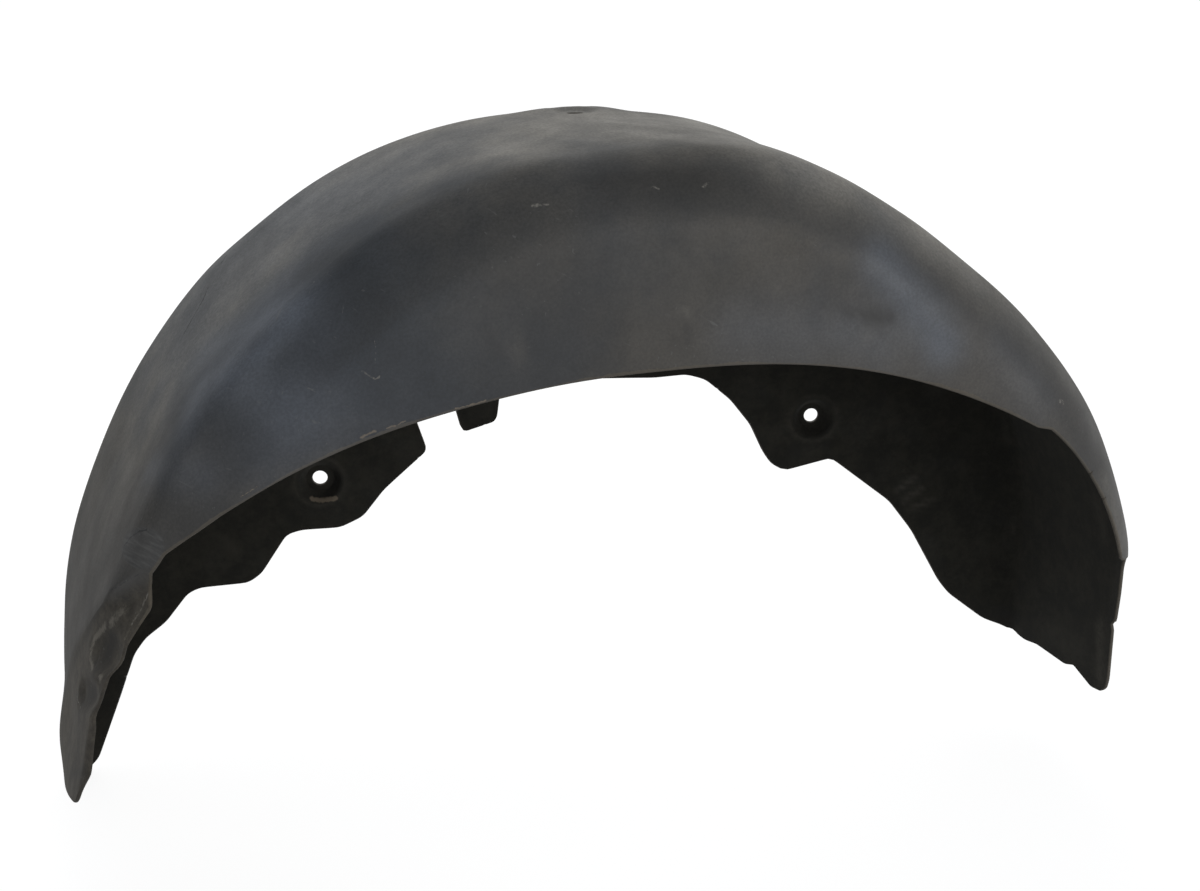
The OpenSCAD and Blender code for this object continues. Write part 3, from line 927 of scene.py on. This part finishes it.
# %% [markdown]
# ## Worn black plastic
# The plastic is nearly black. What is seen is mostly what lies on it: a grey film outside, little
# inside, bare pale burrs on the rim, and rubs and scratches, with painted sheen and painted shade
# among them. So the material starts from the clean plastic and lays each of these over it, and
# every layer also changes how rough it looks.

# %% Material: worn plastic
plastic = bpy.data.materials.new("worn_plastic")
plastic.use_nodes = True
tree = plastic.node_tree
shader = tree.nodes["Principled BSDF"]
place = add_node(tree, "ShaderNodeTexCoord").outputs["Object"]
facing = add_node(tree, "ShaderNodeSeparateXYZ", None,
                  Vector=add_node(tree, "ShaderNodeNewGeometry").outputs["Normal"]).outputs
up = facing["Z"]
faces_road = ramp(tree, facing["Y"], -0.25, -0.75)


def read(name):
    """An attribute of the sheet."""
    return add_node(tree, "ShaderNodeAttribute", {"attribute_name": name}).outputs["Fac"]


def use(group, **inputs):
    """A placed group's mask."""
    return add_node(tree, "ShaderNodeGroup", {"node_tree": group}, **inputs).outputs["Mask"]


def times(*values):
    """The product of masks and numbers."""
    product = values[0]
    for value in values[1:]:
        product = maths(tree, "MULTIPLY", product, value)
    return product


def plus(*values):
    """The sum of masks and numbers."""
    total = values[0]
    for value in values[1:]:
        total = maths(tree, "ADD", total, value)
    return total


def cloudy(vector, scale, detail, roughness, *step):
    """A noise through a soft step: its low and high limits, and what they become."""
    return ramp(tree, noise(tree, vector, scale, detail, roughness), *step)


# the border of every mark is frayed by a small wobble of its place, in metres
WOBBLE = 0.0028
wobble = add_node(tree, "ShaderNodeTexNoise", None, Vector=place, Scale=330.0, Detail=2.0)
off = vectors(tree, "SUBTRACT", wobble.outputs["Color"], (0.5, 0.5, 0.5))
frayed_place = vectors(tree, "ADD", place, vectors(tree, "SCALE", off, WOBBLE))


def all_strokes(marks):
    """The strongest of several marks, each a chain of strokes between its places."""
    mask = None
    for places, width, softness in marks:
        ends = [tuple(cast(*place)[0]) for place in places]
        for start, end in zip(ends[:-1], ends[1:]):
            one = use(stroke, Place=frayed_place, Start=start, End=end, Width=width / 1000,
                      Softness=softness)
            mask = one if mask is None else maths(tree, "MAXIMUM", mask, one)
    return mask


inside_face, rim, edge = read("wheel_side"), read("rim"), read("edge_mm")
flap_face = read("flap")
outside_face = maths(tree, "SUBTRACT", 1.0, inside_face, clamp=True)
dust = use(dust_film, Place=place, Up=up, Amount=1.0)
dust_and_light_outside = times(dust, read("dust_and_painted_light"))
scratches = use(hair, Place=place, Amount=0.4)
worn_edge = times(use(edge_wear, Place=place, Edge=edge, Reach=3.2), outside_face)
pale = times(all_strokes(pale_marks), cloudy(place, 300.0, 3.0, 0.7, 0.35, 0.6))
brown, dark = all_strokes(brown_marks), all_strokes(shade_and_dark_lines)
rubbed = times(read("rubbed"), cloudy(place, 130.0, 4.0, 0.7, 0.3, 0.65, 0.45, 1.0))
# a scuff has a ragged border: its soft patch is added to a noise, and only the highest part is kept
ragged = plus(noise(tree, place, 260.0, 5.0, 0.8), read("scuffed"))
scuffed = ramp(tree, ragged, 0.78, 1.20)
print("marks and masks have", len(tree.nodes), "nodes")

# %% [markdown]
# The round pad by the end of the window was pressed flat and then wiped in one direction. The
# surface curves there, so the wipe marks are laid out in the camera's view: two attributes hold
# how far a point lies along and across the wiping, and a noise squeezed across it gives the marks.

# %% Wiped pad
PAD_U, PAD_V, PAD_R, WIPED = 143, 548, 22.0, math.radians(30)
pad_u, pad_v = (seen_u - PAD_U) / PAD_R, (seen_v - PAD_V) / PAD_R
give(liner, "wiped_along", pad_u * math.cos(WIPED) + pad_v * math.sin(WIPED))
give(liner, "wiped_across", pad_v * math.cos(WIPED) - pad_u * math.sin(WIPED))
near_pad = (x < -250) & (y < 0) & (wheel_side < 0.5)
give(liner, "near_pad", near_pad.astype(float))
wiped = add_node(tree, "ShaderNodeCombineXYZ", None, X=read("wiped_along"),
                 Y=read("wiped_across")).outputs[0]
pad = times(ramp(tree, vectors(tree, "LENGTH", wiped), 1.03, 0.88), read("near_pad"))
squeezed = vectors(tree, "MULTIPLY", wiped, (0.8, 5.0, 1.0))
wipe_marks = times(pad, cloudy(squeezed, 1.0, 3.0, 0.6, 0.40, 0.68))
print("the pad holds", int((near_pad & (np.hypot(pad_u, pad_v) < 1)).sum()), "points")

# %% [markdown]
# The layers go on in the order in which they got there: the film of dust, with painted shade and
# a painted highlight in its amount, on the clean plastic, the bruised flap and the painted sheen,
# then rubs, stains with painted shade among them, and scuffs, and the marks, with painted shade
# lines among them, and bare rims last.

# %% Colour
def lay_over(colour, layers):
    """The colour under one layer after another, each given as (mask, strength, tone)."""
    for mask, strength, tone in layers:
        colour = blend(tree, times(mask, strength), colour, tone)
    return colour


clean = blend(tree, cloudy(place, 3.0, 4.0, 0.6, 0.3, 0.7),
              (0.0135, 0.014, 0.0155, 1), (0.021, 0.0212, 0.021, 1))
hue = ramp(tree, plus(noise(tree, place, 8.0, 4.0, 0.6), read("brownness")), 0.35, 0.80)
wall_tint = blend(tree, hue, (0.058, 0.074, 0.098, 1), (0.098, 0.086, 0.069, 1))
crown_tint = blend(tree, hue, (0.208, 0.212, 0.218, 1), (0.238, 0.224, 0.199, 1))
on_top = times(ramp(tree, up, 0.15, 0.75), read("on_crown"))
film_tint = blend(tree, on_top, wall_tint, crown_tint)
film_share = maths(tree, "SUBTRACT", 0.85, times(flap_face, 0.35))
creased = cloudy(place, 120.0, 4.0, 0.7, 0.32, 0.68, 0.70, 1.30)
flap_tone = vectors(tree, "SCALE", (0.057, 0.049, 0.037), creased)
colour = lay_over(clean, [
    (dust_and_light_outside, film_share, film_tint), (flap_face, 0.66, flap_tone),
    # the sheen layer is a painted reflection, a lighter bluish tone on those patches
    (read("painted_sheen"), 0.62, (0.105, 0.120, 0.148, 1)),
])
clouds = cloudy(place, 16.0, 5.0, 0.65, 0.3, 0.7, 0.78, 1.22)
grain = cloudy(place, 520.0, 3.0, 0.6, 0.3, 0.7, 0.86, 1.14)
colour = vectors(tree, "SCALE", colour, times(clouds, grain))
grime = cloudy(place, 45.0, 6.0, 0.75, 0.35, 0.68)
inside_tone = blend(tree, grime, (0.0070, 0.0067, 0.0048, 1), (0.0190, 0.0176, 0.0130, 1))
colour = blend(tree, inside_face, colour, inside_tone)
rub_tone = blend(tree, inside_face, (0.145, 0.135, 0.118, 1), (0.085, 0.078, 0.064, 1))
burr = times(rim, cloudy(place, 70.0, 4.0, 0.7, 0.38, 0.62, 0.15, 1.0))
bared = maths(tree, "MAXIMUM", times(worn_edge, 0.32), times(burr, 0.36))
colour = lay_over(colour, [
    # the stains layer also lays painted shade in the flap's dents, along creases and along the
    # shoulder's dark band
    (rubbed, 0.55, rub_tone), (read("stains_and_shade"), 0.70, (0.011, 0.0105, 0.010, 1)),
    (scuffed, 0.55, (0.180, 0.165, 0.138, 1)), (scratches, outside_face, (0.12, 0.12, 0.118, 1)),
    (pad, 0.35, (0.030, 0.032, 0.035, 1)), (wipe_marks, 0.55, (0.085, 0.084, 0.080, 1)),
    # the dark layer is mostly painted shade in a slit and along a crease
    (dark, 0.8, (0.008, 0.008, 0.009, 1)), (pale, 0.6, (0.24, 0.225, 0.20, 1)),
    (brown, 0.7, (0.19, 0.155, 0.115, 1)),
])
colour = blend(tree, bared, colour, (0.175, 0.150, 0.115, 1))
tree.links.new(colour, shader.inputs["Base Color"])
print("with its colour, the material has", len(tree.nodes), "nodes")

# %% Roughness and relief
rough = plus(
    ramp(tree, faces_road, 0.0, 1.0, 0.86, 0.54),
    cloudy(place, 24.0, 4.0, 0.6, 0.3, 0.7, -0.05, 0.05), times(read("painted_sheen"), -0.10),
    times(inside_face, 0.45), times(maths(tree, "MAXIMUM", pale, worn_edge), 0.25))
rough = maths(tree, "ADD", rough, times(flap_face, 0.3), clamp=True)
tree.links.new(rough, shader.inputs["Roughness"])
shader.inputs["Specular IOR Level"].default_value = 0.40
height = plus(times(noise(tree, place, 900.0, 2.0, 0.5), 0.03),
              times(noise(tree, place, 60.0, 3.0, 0.5), 0.10), times(burr, 0.25))
bump = add_node(tree, "ShaderNodeBump", None, Height=height, Distance=0.001, Strength=0.6)
tree.links.new(bump.outputs["Normal"], shader.inputs["Normal"])
liner.data.materials.append(plastic)
print("material has", len(tree.nodes), "nodes")

# %% [markdown]
# ## Floor and light
# The liner stands on a wide sheet of white paper, as a parts seller would photograph it. A broad
# soft lamp behind and above lights the crown, and a wide low one in front lights the wall. Nothing
# bright hangs straight overhead, because its mirror image would fill the shoulder, which is dark.
# The paper throws back less light than it shows to the camera, so the inside stays dark, and the
# camera sees white beyond the paper's end too.

# %% Floor
REACH = 40.0
BELOW_LEGS = 0.001
floor_z = cad_box[0][2] - BELOW_LEGS
floor_mesh = bpy.data.meshes.new("floor")
corners = [(-REACH, -REACH), (REACH, -REACH), (REACH, REACH), (-REACH, REACH)]
floor_mesh.from_pydata([(x, y, floor_z) for x, y in corners], [], [(0, 1, 2, 3)])
floor = put_in_scene("floor", floor_mesh)
paper = bpy.data.materials.new("white_paper")
paper.use_nodes = True
nodes = paper.node_tree
nodes.nodes.remove(nodes.nodes["Principled BSDF"])
seen = add_node(nodes, "ShaderNodeBsdfDiffuse", None, Color=(0.24, 0.24, 0.24, 1))
glow = add_node(nodes, "ShaderNodeEmission", None, Color=(1, 1, 1, 1), Strength=0.87)
bounced = add_node(nodes, "ShaderNodeBsdfDiffuse", None, Color=(0.34, 0.34, 0.35, 1))
lit = add_node(nodes, "ShaderNodeAddShader", None, i0=seen.outputs[0], i1=glow.outputs[0])
path = add_node(nodes, "ShaderNodeLightPath").outputs
straight = maths(nodes, "MAXIMUM", path["Is Camera Ray"], path["Is Glossy Ray"])
straight = maths(nodes, "MAXIMUM", straight, path["Is Transmission Ray"])
mix = add_node(nodes, "ShaderNodeMixShader", None, i0=straight, i1=bounced.outputs[0],
               i2=lit.outputs[0])
nodes.links.new(mix.outputs[0], nodes.nodes["Material Output"].inputs["Surface"])
floor_mesh.materials.append(paper)


# %% Lamps and world
def soft_light(name, place, target, width, height, watts, colour=(1, 1, 1)):
    """An area lamp at a place, turned to a target."""
    data = bpy.data.lights.new(name, "AREA")
    data.shape, data.size, data.size_y = "RECTANGLE", width, height
    data.energy, data.color = watts, colour
    lamp = put_in_scene(name, data)
    lamp.location = place
    lamp.rotation_euler = (Vector(target) - Vector(place)).to_track_quat("-Z", "Y").to_euler()
    return lamp


soft_light("back_softbox", (0.9, 3.4, 2.3), (0, 0, -0.15), 3.4, 1.6, 45, (1.0, 0.985, 0.96))
soft_light("front_softbox", (1.7, -2.9, 0.1), (0, -0.1, -0.25), 2.2, 1.1, 22, (1.0, 0.99, 0.97))
world = bpy.data.worlds.new("studio")
bpy.context.scene.world = world
world.use_nodes = True
sky = world.node_tree
background = sky.nodes["Background"]
background.inputs["Color"].default_value = (0.95, 0.975, 1, 1)
way = add_node(sky, "ShaderNodeTexCoord").outputs["Generated"]
rise = add_node(sky, "ShaderNodeSeparateXYZ", None, Vector=way).outputs["Z"]
sky.links.new(ramp(sky, rise, 0.55, 0.95, 0.85, 0.30), background.inputs["Strength"])
white = add_node(sky, "ShaderNodeBackground", None, Color=(1, 1, 1, 1), Strength=1.1)
seen_straight = add_node(sky, "ShaderNodeLightPath").outputs["Is Camera Ray"]
backdrop = add_node(sky, "ShaderNodeMixShader", None, i0=seen_straight,
                    i1=background.outputs[0], i2=white.outputs[0])
sky.links.new(backdrop.outputs[0], sky.nodes["World Output"].inputs["Surface"])
bpy.context.scene.view_settings.view_transform = "Standard"
